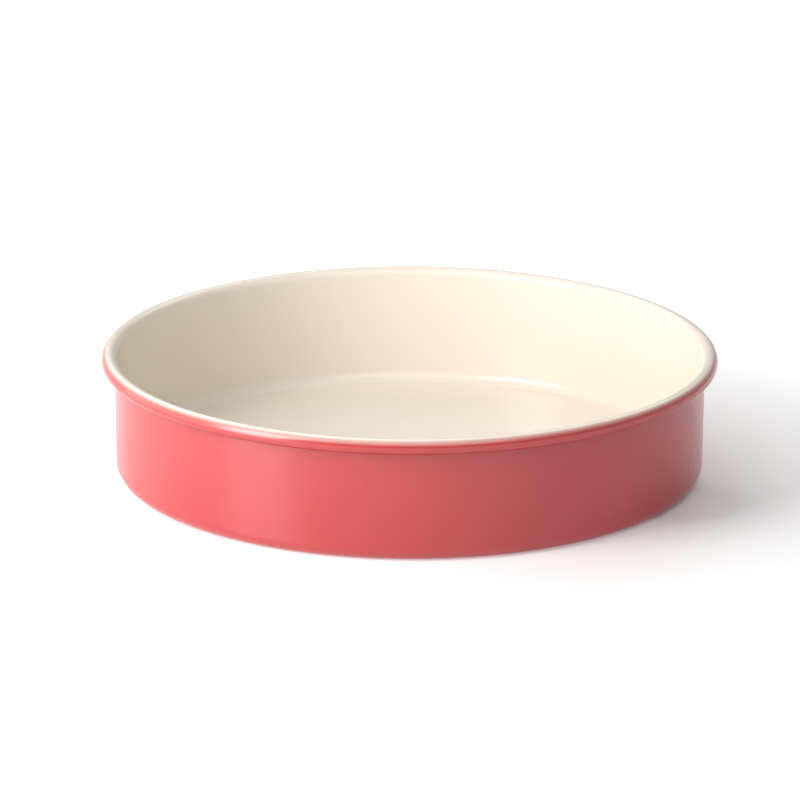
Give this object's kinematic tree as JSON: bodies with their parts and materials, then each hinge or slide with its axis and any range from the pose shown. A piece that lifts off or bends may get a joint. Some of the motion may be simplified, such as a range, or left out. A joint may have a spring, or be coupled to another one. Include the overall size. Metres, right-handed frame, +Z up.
{
  "type": "round cake pan",
  "caption": "Round straight-sided cake pan of drawn steel with a wired rolled rim, cream ceramic lining inside and a coral coat outside.",
  "frame": {"origin": "on the pan's axis, at the level of the surface it stands on", "axes": "+Z up along the pan's axis, towards the open rim; the pan is round, so X and Y are any two square directions"},
  "size_m": [0.2408, 0.2408, 0.0488],
  "materials": {
    "sheet_steel": "bare drawn sheet, hidden under both coats",
    "wire_steel": "bright drawn wire, hidden inside the rolled rim",
    "cream_ceramic": "smooth satin-gloss sprayed ceramic, cream",
    "coral_coat": "smooth satin sprayed coat, coral red"
  },
  "bodies": {
    "root": {"pan_shell": "sheet_steel", "rim_wire": "wire_steel", "inner_lining": "cream_ceramic", "outer_coat": "coral_coat"}
  },
  "joints": []
}
